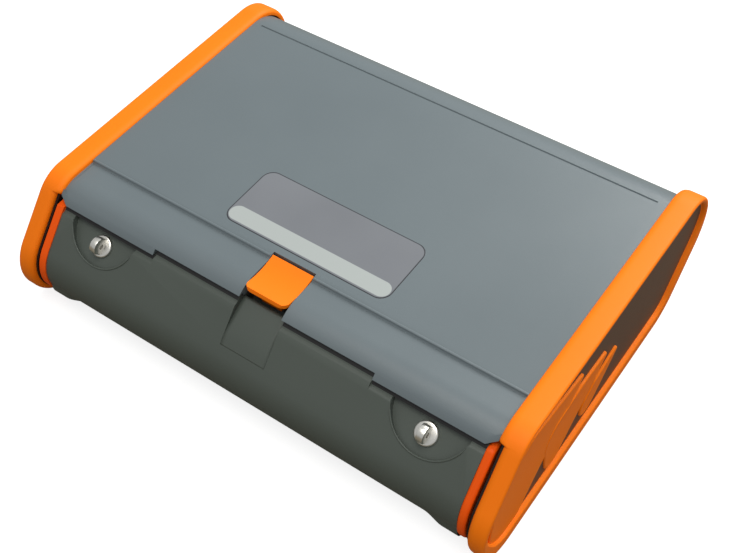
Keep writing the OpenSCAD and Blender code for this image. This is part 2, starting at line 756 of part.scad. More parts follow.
module usb_port() {
    color([0.75, 0.75, 0.75])
    translate([usb_at[0], usb_at[1], 0]) {
        difference() {
            translate([0, 0, panel_z - usb_deep]) linear_extrude(usb_deep - 0.2)
                polygon(round_rect(usb_w, usb_h, 1));
            translate([0, 0, panel_z - usb_deep + 3]) linear_extrude(usb_deep)
                polygon(round_rect(usb_w - 1.6, usb_h - 1.6, 0.6));
        }
        translate([-2.8, -1.6, panel_z - usb_deep + 2]) cube([5.6, 3.2, 6]);
    }
}

module selector_knob() {
    color([0.18, 0.18, 0.19])
    translate([dial[0], dial[1], 0]) {
        translate([0, 0, knob_z]) cylinder(r = knob_r, h = 2.4, $fn = 96);
        intersection() {
            translate([0, 0, knob_z]) cylinder(r = knob_r - 1, h = knob_top - knob_z, $fn = 96);
            translate([-4.5, -knob_r, knob_z]) cube([9, 2*knob_r, knob_top - knob_z]);
        }
        translate([0, 0, main_z + board_t + 2.3])
            cylinder(r = shaft_r, h = knob_z - main_z - board_t - 1.3, $fn = 48);
    }
}

module start_button() {
    color([0.95, 0.5, 0.1])
    translate([start_at[0], start_at[1], 0]) {
        translate([0, 0, key_low]) cylinder(r = start_r + key_lip, h = key_flange_z - key_low, $fn = 48);
        translate([0, 0, key_low]) cylinder(r = start_r, h = key_z - key_low, $fn = 48);
    }
}

// One key cap with its retaining flange
module key_cap(name) {
    k = [for (row = KEYS) if (row[0] == name) row][0];
    color([0.75, 0.76, 0.78])
    translate([k[1], k[2], key_low]) {
        linear_extrude(key_z - key_low) polygon(round_rect(k[3], k[4], 2));
        linear_extrude(key_flange_z - key_low)
            polygon(round_rect(k[3] + 2*key_lip, k[4] + 2*key_lip, 2 + key_lip));
    }
}

module lid_shell() {
    half = lid_half;
    color([0.48, 0.51, 0.53])
    difference() {
        union() {
            along_x(-half, half) polygon(concat(lid_skin(0), flip(lid_skin(wall))));
            for (side = [-1, 1]) sided(side) {
                along_x(flange_x - rail_t, flange_x) intersection() {
                    polygon(belt(SIDE, flange_inset));
                    translate([front_y + rail_front, lid_edge_z + 0.1])
                        square([rear_y - rail_rear - front_y - rail_front, rail_h]);
                }
                along_x(notch_half, notch_half + rib_t) intersection() {
                    polygon(concat(lid_skin(0), [[strip_y, rib_z], [slope_y(rib_z, apron_inset), rib_z]]));
                    translate([front_y, rib_z]) square([notch_y + 2 - front_y, 10]);
                }
            }
        }
        along_x(-seam_half - 0.5, seam_half + 0.5)
            translate([front_y, lid_edge_z - overrun])
                square([slope_y(rim_z + seam_rise, front_in + wall) + 2*fit_gap - front_y,
                    overrun + seam_rise]);
        along_x(-notch_half, notch_half)
            translate([front_y, lid_edge_z - overrun]) square([notch_y - front_y, 12]);
        translate([0, pivot[0], pivot[1]]) rotate([0, 90, 0])
            cylinder(r = pivot_pin_r, h = 2*(notch_half + rib_t + 1), center = true, $fn = 32);
        along_x(-half + 5, half - 5)
            polygon([[groove_y - 0.8, lid_z + 0.3], [groove_y, lid_z - 0.8], [groove_y + 0.8, lid_z + 0.3]]);
        translate([0, label_y, lid_z - 0.5]) linear_extrude(overrun)
            polygon(round_rect(label_w + 0.4, label_h + 0.4, 6));
        for (side = [-1, 1], y = cheek_screw_ys)
            translate([side*flange_x, y, cheek_screw_z]) rotate([0, 90, 0])
                cylinder(r = cheek_screw_r, h = 8, center = true, $fn = 24);
    }
}

// A lid bumper: a band round the side, widened above the seam
module bumper(side) {
    color([1, 0.45, 0.05])
    sided(side) union() {
        along_x(band_x, half_w) difference() {
            polygon(belt(SIDE));
            polygon(belt(SIDE, band_h));
        }
        along_x(lid_half, band_x + 0.5) intersection() {
            difference() {
                polygon(belt(SIDE));
                polygon(belt(SIDE, flange_inset));
            }
            polygon([[front_y, lid_edge_z], [heel[0], lid_edge_z], [heel[0], lid_end_z],
                [rear_y + overrun, lid_end_z], [rear_y + overrun, case_h + overrun],
                [front_y, case_h + overrun]]);
        }
    }
}

module cheek(side) {
    color([0.25, 0.2, 0.18])
    sided(side) difference() {
        union() {
            along_x(flange_x, band_x) polygon(belt(SIDE, flange_inset));
            along_x(band_x - 0.5, cheek_face) polygon(belt(SIDE, band_h));
        }
        difference() {
            along_x(flange_x - overrun, cheek_face - 2.4) polygon(belt(SIDE, band_h + 3));
            translate([flange_x, hinge[0], hinge[1]]) rotate([0, 90, 0])
                cylinder(r = 9, h = 20, $fn = 64);
        }
        translate([flange_x - overrun, hinge[0], hinge[1]]) rotate([0, 90, 0])
            cylinder(d = hinge_pin_d + 2*run_gap, h = cheek_face - 2.6 - flange_x + overrun, $fn = 48);
        for (y = cheek_screw_ys) translate([flange_x, y, cheek_screw_z]) rotate([0, 90, 0])
            cylinder(r = cheek_screw_r, h = 8, center = true, $fn = 24);
    }
}

module blades(side) {
    color([0.75, 0.33, 0])
    sided(side) along_x(cheek_face, cheek_face + blade_t) intersection() {
        union() {
            for (b = blade_shares)
                polygon(belt([for (c = b) [front_y + c[0]*case_d, c[1]*case_h, c[2]]]));
        }
        polygon(belt(SIDE, band_h + fit_gap));
    }
}

module cheek_screws() {
    color([0.75, 0.75, 0.75])
    for (side = [-1, 1], y = cheek_screw_ys) sided(side)
        translate([flange_x - rail_t, y, cheek_screw_z]) rotate([0, 90, 0]) {
            cylinder(r = cheek_screw_r, h = band_x - fit_gap - flange_x + rail_t, $fn = 24);
            translate([0, 0, -head_h]) cylinder(r = 2, h = head_h, $fn = 32);
        }
}

module label_plate() {
    color([0.55, 0.56, 0.6])
    translate([0, label_y, lid_z - 0.5]) linear_extrude(0.6)
        polygon(round_rect(label_w, label_h, 6));
}

module latch() {
    chord = (latch_back - latch_lip)/2;
    dip = [latch_back - chord, latch_top + sqrt(pow(latch_dip_r, 2) - pow(chord, 2))];
    swing = asin(chord/latch_dip_r);
    color([1, 0.5, 0])
    difference() {
        union() {
            along_x(-latch_half, latch_half) polygon(concat(
                arc(dip, latch_dip_r, 270 - swing, 270 + swing, 10),
                arc(dip, latch_dip_r + latch_t, 270 + swing, 270 - swing, 10)));
            along_x(-latch_half, latch_half) translate(pivot) circle(pivot_r, $fn = 48);
            along_x(-keeper_half, keeper_half) polygon([
                [leg_y - leg_t, leg_z], [scoop_back[0] - 0.8, leg_z],
                [scoop_back[0] - 0.8, hook_face(scoop_back[0] - 0.8, hook_gap)],
                [leg_y, hook_face(leg_y, hook_gap)], [leg_y, latch_top - 2.8],
                [leg_y - leg_t, latch_top - 2.8]]);
        }
        translate([0, pivot[0], pivot[1]]) rotate([0, 90, 0])
            cylinder(r = pivot_pin_r + run_gap, h = latch_w + 2*overrun, center = true, $fn = 32);
        along_x(-spring_half, spring_half) translate(pivot) {
            circle(spring_room_r, $fn = 48);
            translate([-pivot_r - overrun, -pivot_r - overrun])
                square([2*(pivot_r + overrun), pivot_r + overrun + 0.3]);
        }
    }
}

module latch_pin() {
    color([0.75, 0.75, 0.75])
    translate([0, pivot[0], pivot[1]]) rotate([0, 90, 0])
        cylinder(r = pivot_pin_r, h = 2*(notch_half + rib_t), center = true, $fn = 32);
}

// Helix of round wire, as rings of points joined into a closed tube
module latch_spring() {
    turns = 5;
    steps = 14;
    sides = 6;
    wire = 0.25;
    coil = 1.55;
    length = 2*(spring_half - 0.6) - 2*wire;
    count = turns*steps;
    points = [for (i = [0:count], j = [0:sides - 1])
        let(a = 360*i/steps, b = 360*j/sides, r = coil + wire*cos(b))
            [-length/2 + length*i/count + wire*sin(b), r*cos(a), r*sin(a)]];
    faces = concat([[for (j = [sides - 1:-1:0]) j]],
        [for (i = [0:count - 1], j = [0:sides - 1]) let(k = (j + 1) % sides)
            [i*sides + j, i*sides + k, (i + 1)*sides + k, (i + 1)*sides + j]],
        [[for (j = [0:sides - 1]) count*sides + j]]);
    color([0.7, 0.7, 0.7])
    translate([0, pivot[0], pivot[1]]) polyhedron(points, faces, convexity = 8);
}

base_tub();
end_bumper(-1);  // left_end_bumper
end_bumper(1);  // right_end_bumper
feet();
strap_lugs();
lug_inserts();
hinge_pins();
hinge_washers();
latch_keeper();
battery_cells();
battery_contacts();
battery_cover();
battery_screws();
meter_board();
board_spacers();
main_board();
relay_block();
fuse_link();
keypad_mat();
display_module();
selector_switch();
panel_gasket();
front_panel();
panel_screws();
display_window();
display_bezel();
dial_ring();
socket_housings();
socket_contacts();
probe_socket();
usb_port();
selector_knob();
start_button();
key_cap("key_f1");  // key_f1
key_cap("key_f2");  // key_f2
key_cap("key_f3");  // key_f3
key_cap("key_f4");  // key_f4
key_cap("key_escape");  // key_escape
key_cap("key_up");  // key_up
key_cap("key_light");  // key_light
key_cap("key_left");  // key_left
key_cap("key_enter");  // key_enter
key_cap("key_right");  // key_right
key_cap("key_help");  // key_help
key_cap("key_down");  // key_down
key_cap("key_power");  // key_power
lid_shell();
bumper(-1);  // left_bumper
bumper(1);  // right_bumper
cheek(-1);  // left_cheek
cheek(1);  // right_cheek
blades(-1);  // left_blades
blades(1);  // right_blades
cheek_screws();
label_plate();
latch();
latch_pin();
latch_spring();
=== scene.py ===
"""Looks of the electrical installation tester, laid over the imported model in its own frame.

Lengths in this file are millimetres in the numbers and metres in the meshes. The camera, the lamps, the
depths of bumps and the distances at which corners join are in metres. x runs to the right, y to the rear
and z up. A side is -1 for the left half of the case and 1 for the right one.
"""
import json

import bmesh
import bpy
import numpy as np
from mathutils import Matrix, Vector


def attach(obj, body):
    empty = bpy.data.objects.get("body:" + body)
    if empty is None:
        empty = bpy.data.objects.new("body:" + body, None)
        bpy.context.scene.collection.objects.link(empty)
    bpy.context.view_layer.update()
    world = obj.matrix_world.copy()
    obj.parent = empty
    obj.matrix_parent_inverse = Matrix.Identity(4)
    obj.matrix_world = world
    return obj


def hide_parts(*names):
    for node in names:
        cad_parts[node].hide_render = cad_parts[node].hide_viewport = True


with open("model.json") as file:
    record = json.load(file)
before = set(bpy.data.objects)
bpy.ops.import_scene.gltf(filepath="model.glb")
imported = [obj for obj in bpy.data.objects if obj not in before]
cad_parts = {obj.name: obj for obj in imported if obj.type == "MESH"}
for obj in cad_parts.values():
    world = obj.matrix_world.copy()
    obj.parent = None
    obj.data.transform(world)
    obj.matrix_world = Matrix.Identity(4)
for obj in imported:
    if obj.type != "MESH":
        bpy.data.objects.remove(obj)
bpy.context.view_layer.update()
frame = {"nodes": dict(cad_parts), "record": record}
MM = 0.001


# ---------------------------------------------------------------- camera

def aim_camera():
    """Pinhole camera of the photograph, from the fitted outlines of both bumpers."""
    data = bpy.data.cameras.new("photo_camera")
    data.sensor_width = 36
    data.lens = 62.90
    data.shift_x = 0.0562
    data.shift_y = -0.1008
    data.clip_start = 0.05
    data.clip_end = 20
    eye = Vector((0.260711, -0.3656, 0.542985))
    ahead = Vector((-0.42129, 0.54325, -0.72622)).normalized()
    up = Vector((-0.41007, 0.60012, 0.6868))
    right = ahead.cross(up).normalized()
    up = right.cross(ahead)
    camera = bpy.data.objects.new("photo_camera", data)
    turn = Matrix((right, up, -ahead)).transposed()
    camera.matrix_world = Matrix.Translation(eye) @ turn.to_4x4()
    bpy.context.scene.collection.objects.link(camera)
    bpy.context.scene.camera = camera


aim_camera()


# ---------------------------------------------------------------- places that several pieces share

SIDES = (-1, 1)
OUTER_X = 144.0                             # outer face of the bumpers
PLATE_X = 141.5                             # outer face of the side plates
APRON_CORNER_X = 126.2                      # where the lid's apron starts to turn up
LUG_X = 99.0                                # middle of a strap lug
DISH_RADIUS = 21.0                          # recess round a strap lug
LABEL_Y = -30.1                             # middle of the label plate
SOCKET_X, SOCKET_Y = (-72, -48, -24, 0, 24), 73
DIAL, DIAL_TOP = np.array([74, 24]), 61.6   # middle and height of the dial ring


# ---------------------------------------------------------------- material tools

def ink(red, green, blue):
    """Linear colour of a screen colour given in 0 to 255."""
    screen = np.array([red, green, blue]) / 255
    linear = np.where(screen <= 0.04045, screen / 12.92, ((screen + 0.055) / 1.055) ** 2.4)
    return (*linear.tolist(), 1.0)


class Wire:
    """A value inside a material: arithmetic on it adds Math nodes."""

    def __init__(self, finish, socket):
        self.finish, self.socket = finish, socket

    def _math(self, operation, *values):
        node = self.finish.node("ShaderNodeMath", {"operation": operation}, dict(enumerate(values)))
        return Wire(self.finish, node.outputs[0])

    def __add__(self, other):
        return self._math("ADD", self, other)

    def __sub__(self, other):
        return self._math("SUBTRACT", self, other)

    def __rsub__(self, other):
        return self._math("SUBTRACT", other, self)

    def __mul__(self, other):
        return self._math("MULTIPLY", self, other)

    __radd__ = __add__
    __rmul__ = __mul__

    def size(self):
        return self._math("ABSOLUTE", self)

    def most(self, other):
        return self._math("MAXIMUM", self, other)

    def root(self):
        return self._math("SQRT", self)

    def ramp(self, low, high):
        """0 below low, 1 above high, smooth between them."""
        node = self.finish.node("ShaderNodeMapRange", {"interpolation_type": "SMOOTHSTEP"},
                                {"Value": self, "From Min": low, "From Max": high})
        return Wire(self.finish, node.outputs[0])


class Finish:
    """One material: its surface shader and the nodes that feed it."""

    def __init__(self, name):
        self.material = bpy.data.materials.new(name)
        self.material.use_nodes = True
        self.tree = self.material.node_tree
        self.surface = self.tree.nodes["Principled BSDF"]

    def node(self, kind, settings=None, inputs=None):
        """New node: its settings first, then a number, a colour or a link for each socket."""
        node = self.tree.nodes.new(kind)
        for name, value in (settings or {}).items():
            setattr(node, name, value)
        for name, value in (inputs or {}).items():
            self.feed(node.inputs[name], value)
        return node

    def feed(self, socket, value):
        if isinstance(value, Wire):
            value = value.socket
        if isinstance(value, bpy.types.NodeSocket):
            self.tree.links.new(value, socket)
        else:
            socket.default_value = value

    def place(self):
        """The point on the object, in metres."""
        return self.node("ShaderNodeTexCoord").outputs["Object"]

    def axes(self):
        """The point's x, y and z in millimetres."""
        split = self.node("ShaderNodeSeparateXYZ", inputs={0: self.place()})
        return [Wire(self, out) * 1000 for out in split.outputs]

    def noise(self, scale, detail, stretch=None):
        """Noise in 0 to 1, with scale features to the metre."""
        where = self.place()
        if stretch:
            where = self.node("ShaderNodeMapping", inputs={"Vector": where, "Scale": stretch}).outputs[0]
        made = self.node("ShaderNodeTexNoise", inputs={"Vector": where, "Scale": scale, "Detail": detail})
        return Wire(self, made.outputs["Fac"])

    def blend(self, share, first, second):
        """Mix of two colours, by a share in 0 to 1."""
        made = self.node("ShaderNodeMix", {"data_type": "RGBA"}, {0: share, 6: first, 7: second})
        return made.outputs[2]

    def bump(self, height, depth, strength):
        """Small relief: height in 0 to 1, depth in metres."""
        inputs = {"Height": height, "Distance": depth, "Strength": strength}
        return self.node("ShaderNodeBump", inputs=inputs).outputs[0]

    def wear(self, **sockets):
        """Feeds the surface's sockets, named with _ for a space, and gives back the material."""
        for name, value in sockets.items():
            self.feed(self.surface.inputs[name.replace("_", " ")], value)
        return self.material


def moulded(name, dark, light, grain=2600, depth=0.00006, gloss=0.42, spread=0.08, shine=0.5):
    """Spark-grained plastic: colour drifts between two tones, roughness with it, fine grain in the relief.
    Grain is in features to the metre, gloss is the middle roughness, spread its drift, and shine the
    specular level."""
    finish = Finish(name)
    drift = finish.noise(14, 3)
    speck = finish.noise(grain, 2)
    scuff = finish.noise(260, 4, (1, 3, 1))
    colour = finish.blend(drift * 0.75 + speck * 0.25, dark, light)
    relief = finish.bump(speck, depth, 0.55)
    return finish.wear(Base_Color=colour, Roughness=drift * spread + scuff * 0.08 + gloss - spread / 2,
                       Normal=relief, Specular_IOR_Level=shine)


def metal(name, dark, light, rough):
    """Plated metal: fine marks in the relief and a slightly uneven shine."""
    finish = Finish(name)
    marks = finish.noise(1800, 3)
    cloud = finish.noise(120, 2)
    return finish.wear(Base_Color=finish.blend(cloud, dark, light), Metallic=1.0,
                       Roughness=marks * 0.16 + cloud * 0.08 + rough,
                       Normal=finish.bump(marks, 0.00003, 0.4))


# ---------------------------------------------------------------- materials

def rounded(x, y, half_x, half_y, radius):
    """Distance outside a rounded rectangle, in millimetres."""
    dx = (x.size() - (half_x - radius)).most(0)
    dy = (y.size() - (half_y - radius)).most(0)
    return (dx * dx + dy * dy).root() - radius


def label_finish():
    """Grey plate with a lighter stripe, rounded at both ends, inside a thin dark rim that is painted shade of
    the plate's edge.
    """
    finish = Finish("label_plate_print_and_painted_edge_shade")
    x, y, _ = finish.axes()
    y = y - LABEL_Y
    body = 1 - rounded(x, y, 49.2, 19.8, 6.4).ramp(-0.35, 0.05)
    stripe = 1 - rounded(x, y + 13.9, 48.5, 4.9, 4.8).ramp(-0.15, 0.15)
    grain = finish.noise(3200, 2)
    drift = finish.noise(20, 2)
    plate = finish.blend(drift, ink(106, 109, 114), ink(120, 123, 128))
    printed = finish.blend(stripe, plate, ink(162, 168, 166))
    # painted shade: the dark rim round the plate's edge
    edge = finish.blend(body, ink(44, 46, 50), printed)
    return finish.wear(Base_Color=edge, Roughness=drift * 0.08 + 0.3,
                       Normal=finish.bump(grain + stripe * 2, 0.00003, 0.4))


def glass_finish():
    """Window over the display: a black frame, and the pale green of a display that is switched off."""
    finish = Finish("display_glass")
    x, y, _ = finish.axes()
    cloud = finish.noise(30, 2)
    cells = 1 - rounded(x + 59.8, y - 14, 45, 32, 1.5).ramp(-0.2, 0.2)
    green = finish.blend(cloud, ink(116, 128, 112), ink(126, 138, 120))
    return finish.wear(Base_Color=finish.blend(cells, ink(24, 26, 28), green),
                       Roughness=cloud * 0.06 + 0.08, Coat_Weight=0.4,
                       Normal=finish.bump(finish.noise(60, 2), 0.00002, 0.3))


def panel_finish():
    """Dark panel with thin pale lines round the row of sockets and two fields of keys, and a ring round
    each test socket."""
    finish = Finish("panel_plastic")
    x, y, _ = finish.axes()
    drift = finish.noise(14, 3)
    speck = finish.noise(3000, 2)
    line = 1 - rounded(x + 24, y - SOCKET_Y, 61, 13.5, 4).size().ramp(0.22, 0.42)
    line = line.most(1 - rounded(x - 73.5, y + 48, 33, 21.5, 4).size().ramp(0.22, 0.42))
    line = line.most(1 - rounded(x + 59.8, y + 44, 52, 11, 4).size().ramp(0.22, 0.42))
    for place in SOCKET_X:
        across = x - place
        along = y - SOCKET_Y
        ring = (across * across + along * along).root() - 10.2
        line = line.most(1 - ring.size().ramp(0.3, 0.5))
    outer = finish.blend(drift * 0.75 + speck * 0.25, ink(58, 61, 64), ink(66, 69, 72))
    return finish.wear(Base_Color=finish.blend(line, outer, ink(196, 200, 202)),
                       Roughness=drift * 0.08 + 0.4, Normal=finish.bump(speck, 0.00005, 0.5))


def board_finish():
    """Green circuit board with a weave under the lacquer and darker copper planes."""
    finish = Finish("board_lacquer")
    weave = finish.noise(900, 2)
    plane = finish.noise(90, 1).ramp(0.48, 0.52)
    return finish.wear(Base_Color=finish.blend(plane, ink(24, 74, 44), ink(32, 92, 54)),
                       Roughness=weave * 0.15 + 0.35, Normal=finish.bump(weave, 0.00003, 0.4))


def cheek_finish_with_painted_shade():
    """Brown plastic of the side plates, with painted shade: near black in the channel behind the bumper's
    band.
    """
    finish = Finish("cheek_plastic_painted_shade")
    x = finish.axes()[0]
    drift = finish.noise(20, 3)
    speck = finish.noise(2600, 2)
    outer = finish.blend(drift * 0.7 + speck * 0.3, ink(84, 60, 46), ink(95, 69, 54))
    # painted shade: the plate is near black nearer the middle than 137 to 139 mm, in the channel behind the
    # band
    colour = finish.blend(x.size().ramp(137, 139), ink(30, 19, 16), outer)
    return finish.wear(Base_Color=colour, Roughness=drift * 0.1 + 0.45,
                       Normal=finish.bump(speck, 0.00006, 0.5), Specular_IOR_Level=0.3)


FINISHES = {
    "lid": moulded("lid_plastic", ink(95, 105, 109), ink(104, 114, 118), gloss=0.34),
    # painted shade: the base is the same grey plastic as the lid, written darker to stand for the shade on its
    # front
    "base": moulded("base_plastic_painted_shade", ink(75, 82, 76), ink(83, 90, 84), gloss=0.42, shine=0.4),
    "orange": moulded("bumper_rubber", ink(250, 118, 0), ink(255, 128, 0), 3200, 0.00005, 0.5, 0.06, 0.22),
    "strip": moulded("strip_rubber", ink(244, 84, 0), ink(250, 94, 0), 3200, 0.00005, 0.5, 0.06, 0.22),
    "blade": moulded("blade_rubber", ink(252, 120, 0), ink(255, 128, 0), 3200, 0.00005, 0.46, 0.06, 0.2),
    "side": cheek_finish_with_painted_shade(),
    "dark": moulded("dark_plastic", ink(44, 46, 48), ink(54, 56, 58)),
    "panel": panel_finish(),
    "print": moulded("white_print", ink(214, 217, 216), ink(226, 229, 228), 3000, 0.00001, 0.45),
    "key": moulded("key_rubber", ink(66, 70, 74), ink(78, 82, 86), 3600, 0.00004, 0.55),
    "key_warm": moulded("start_key_rubber", ink(232, 160, 30), ink(244, 176, 44), 3600, 0.00004, 0.5),
    "rubber": moulded("black_rubber", ink(26, 26, 27), ink(36, 36, 37), 1800, 0.00009, 0.68),
    "label": label_finish(),
    "glass": glass_finish(),
    "board": board_finish(),
    "steel": metal("lug_steel", ink(222, 220, 212), ink(240, 238, 232), 0.22),
    "brass": metal("contact_brass", ink(214, 176, 104), ink(232, 196, 124), 0.26),
    "cell": moulded("cell_jacket", ink(60, 74, 96), ink(76, 92, 116), 600, 0.00003, 0.34),
}

NODE_FINISH = {
    "base_tub": "base", "left_end_bumper": "strip", "right_end_bumper": "strip", "feet": "rubber",
    "strap_lugs": "steel", "lug_inserts": "brass", "hinge_pins": "steel", "hinge_washers": "rubber",
    "latch_keeper": "steel", "battery_cells": "cell", "battery_contacts": "steel",
    "battery_cover": "base", "battery_screws": "steel", "meter_board": "board",
    "board_spacers": "brass", "main_board": "board", "relay_block": "dark", "fuse_link": "steel",
    "keypad_mat": "rubber", "display_module": "dark", "selector_switch": "dark",
    "panel_gasket": "rubber", "front_panel": "panel", "panel_screws": "steel",
    "display_window": "glass", "display_bezel": "dark", "dial_ring": "dark",
    "socket_housings": "dark", "socket_contacts": "brass", "probe_socket": "dark",
    "usb_port": "steel", "selector_knob": "dark", "start_button": "key_warm",
    "lid_shell": "lid", "left_bumper": "orange", "right_bumper": "orange",
    "left_cheek": "side", "right_cheek": "side", "left_blades": "blade", "right_blades": "blade",
    "cheek_screws": "steel", "label_plate": "label", "latch": "orange", "latch_pin": "steel",
    "latch_spring": "steel",
}

BODY = {node: body for body, nodes in frame["record"]["behaviour"]["bodies"].items() for node in nodes}
SLOT = {node: row["slot"] for row in frame["record"]["materials"] for node in row.get("nodes", [])}
DRESSED = set()     # CAD nodes that a piece of this file stands for


# ---------------------------------------------------------------- mesh tools

def paint(piece, finish):
    piece.data.materials.clear()
    piece.data.materials.append(FINISHES[finish])


def stand_for(piece, node):
    """The piece takes a CAD node's place, body and finish."""
    paint(piece, NODE_FINISH.get(node, "key"))
    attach(piece, BODY[node])
    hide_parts(node)
    node in SLOT
    DRESSED.add(node)
    return piece


def sided(side, name):
    return ("left_" if side < 0 else "right_") + name


def smooth(share):
    """Smooth step: three times the square less twice the cube of a share that is held in 0 to 1."""
    share = np.clip(share, 0, 1)
    return share * share * (3 - 2 * share)


def corners(mesh):
    """Corners of a mesh, in millimetres."""
    points = np.empty(len(mesh.vertices) * 3)
    mesh.vertices.foreach_get("co", points)
    return points.reshape(-1, 3) / MM


def set_corners(mesh, points):
    mesh.vertices.foreach_set("co", (points * MM).ravel())
    mesh.update()


def soften(mesh, sharp):
    """Smooth shading but for edges that turn by more than sharp degrees."""
    mesh.polygons.foreach_set("use_smooth", np.ones(len(mesh.polygons), bool))
    mesh.set_sharp_from_angle(angle=np.radians(sharp))


def mesh_piece(name, points, faces, sharp=35):
    """Mesh of points in millimetres, smooth but for edges that turn by more than sharp degrees."""
    mesh = bpy.data.meshes.new(name)
    faces = faces if isinstance(faces, list) else faces.tolist()
    mesh.from_pydata((points * MM).tolist(), [], faces)
    mesh.update()
    mesh.validate()
    soften(mesh, sharp)
    piece = bpy.data.objects.new(name, mesh)
    bpy.context.scene.collection.objects.link(piece)
    return piece


def face_outward(piece, join=0):
    """Turns the faces of a closed mesh outward, once corners nearer than join, in metres, are one."""
    work = bmesh.new()
    work.from_mesh(piece.data)
    if join:
        bmesh.ops.remove_doubles(work, verts=work.verts, dist=join)
    bmesh.ops.recalc_face_normals(work, faces=work.faces)
    work.to_mesh(piece.data)
    work.free()


def grid_faces(rows, columns, close_rows=False, close_columns=False):
    """Corner numbers of the four-sided faces of a grid, closed on itself in either direction."""
    i = np.arange(rows if close_rows else rows - 1)[:, None]
    j = np.arange(columns if close_columns else columns - 1)[None, :]
    a = i * columns + j
    b = i * columns + (j + 1) % columns
    c = ((i + 1) % rows) * columns + (j + 1) % columns
    d = ((i + 1) % rows) * columns + j
    return np.stack([a, b, c, d], -1).reshape(-1, 4)


def bevelled(piece, width):
    """Adds a small rounded edge, left as a modifier."""
    edge = piece.modifiers.new("edges", "BEVEL")
    edge.width = width * MM
    edge.segments = 2
    edge.limit_method = "ANGLE"
    edge.angle_limit = np.radians(30)


def cut_along(work, place, normal, trim=False):
    """Cuts a mesh along a plane. A trim also takes off what lies beyond it and closes the hole."""
    made = bmesh.ops.bisect_plane(work, geom=work.verts[:] + work.edges[:] + work.faces[:], dist=1e-7,
                                  plane_co=Vector(place) * MM, plane_no=normal, clear_outer=trim)
    rim = [part for part in made["geom_cut"] if isinstance(part, bmesh.types.BMEdge)]
    if trim and rim:
        bmesh.ops.holes_fill(work, edges=rim)


def eased(node, width, cuts=(), trims=(), reshape=None):
    """Copy of a CAD node with its loose triangles joined, flat areas merged and edges rounded. Cuts are
    planes that give it more corners, trims are planes that take off what lies beyond them, and reshape
    moves the corners, as an array in millimetres."""
    source = frame["nodes"][node]
    mesh = source.data.copy()
    mesh.transform(source.matrix_world)
    mesh.name = node + "_eased"
    work = bmesh.new()
    work.from_mesh(mesh)
    bmesh.ops.remove_doubles(work, verts=work.verts, dist=2e-6)
    bmesh.ops.dissolve_limit(work, angle_limit=np.radians(0.4), verts=work.verts, edges=work.edges)
    for place, normal in cuts:
        cut_along(work, place, normal)
    for place, normal in trims:
        cut_along(work, place, normal, trim=True)
    work.to_mesh(mesh)
    work.free()
    if reshape is not None:
        set_corners(mesh, reshape(corners(mesh)))
    for layer in list(mesh.attributes):
        if layer.name.startswith("custom_normal"):
            mesh.attributes.remove(layer)
    soften(mesh, 32)
    piece = bpy.data.objects.new(node + "_eased", mesh)
    bpy.context.scene.collection.objects.link(piece)
    bevelled(piece, width)
    stand_for(piece, node)


# ---------------------------------------------------------------- side outline

# Circles [y, z, radius] of the side view: rear top, front top, nose, rear bottom.
SIDE = np.array([[84.7, 48.2, 26.8], [-69.5, 53.0, 22.0], [-84.5, 27.8, 27.0], [65.0, 28.2, 27.4]])
REAR_TOP, FRONT_TOP, NOSE = SIDE[:3]


def tangent_angles(circles):
    """Angle at which the belt leaves each circle for the next: the direction in which both reach as far."""
    ahead = np.roll(circles, -1, 0)
    run = ahead[:, :2] - circles[:, :2]
    span = np.hypot(run[:, 0], run[:, 1])
    return np.degrees(np.arctan2(run[:, 1], run[:, 0]) - np.arccos((circles[:, 2] - ahead[:, 2]) / span))


SLOPE = np.radians(tangent_angles(SIDE)[1] % 360)
OUT_OF_SLOPE = np.array([np.cos(SLOPE), np.sin(SLOPE)])
UP_SLOPE = np.array([np.sin(SLOPE), -np.cos(SLOPE)])
SLOPE_REACH = FRONT_TOP[:2] @ OUT_OF_SLOPE + FRONT_TOP[2]


def slope_y(z, inset):
    """Where the front slope, set in from the outline, passes a height."""
    return (SLOPE_REACH - inset - z * OUT_OF_SLOPE[1]) / OUT_OF_SLOPE[0]


def belt(circles, step, marks):
    """Stations [y, z, radius, angle] along a belt round circles: each circle's arc in even turns of about
    a step in degrees, and the marked angles too."""
    leave = tangent_angles(circles)
    rows = []
    for k, circle in enumerate(circles):
        start, end = leave[k - 1], leave[k]
        end += 360 * np.ceil((start - end) / 360)
        count = max(2, int(np.ceil((end - start) / step)) + 1)
        extra = [mark + turn for mark in marks for turn in (-360, 0, 360) if start < mark + turn < end]
        angles = np.union1d(np.linspace(start, end, count), extra)
        rows.append(np.column_stack([np.tile(circle, (len(angles), 1)), angles]))
    return np.vstack(rows)


# ---------------------------------------------------------------- bumpers

# Heights at which the band grows wider at the front and at the rear, and how much of the growth is done.
FRONT_RISE = np.array([68.4, 69.2, 69.5, 69.9, 70.5, 71.5])
REAR_RISE = np.array([44.0, 44.3, 44.7, 45.3, 46.4])
GROWTH = [0, 0.7, 0.93, 1]
BAND_BACK_X = 135.4
CHANNEL_INSET = 8.5


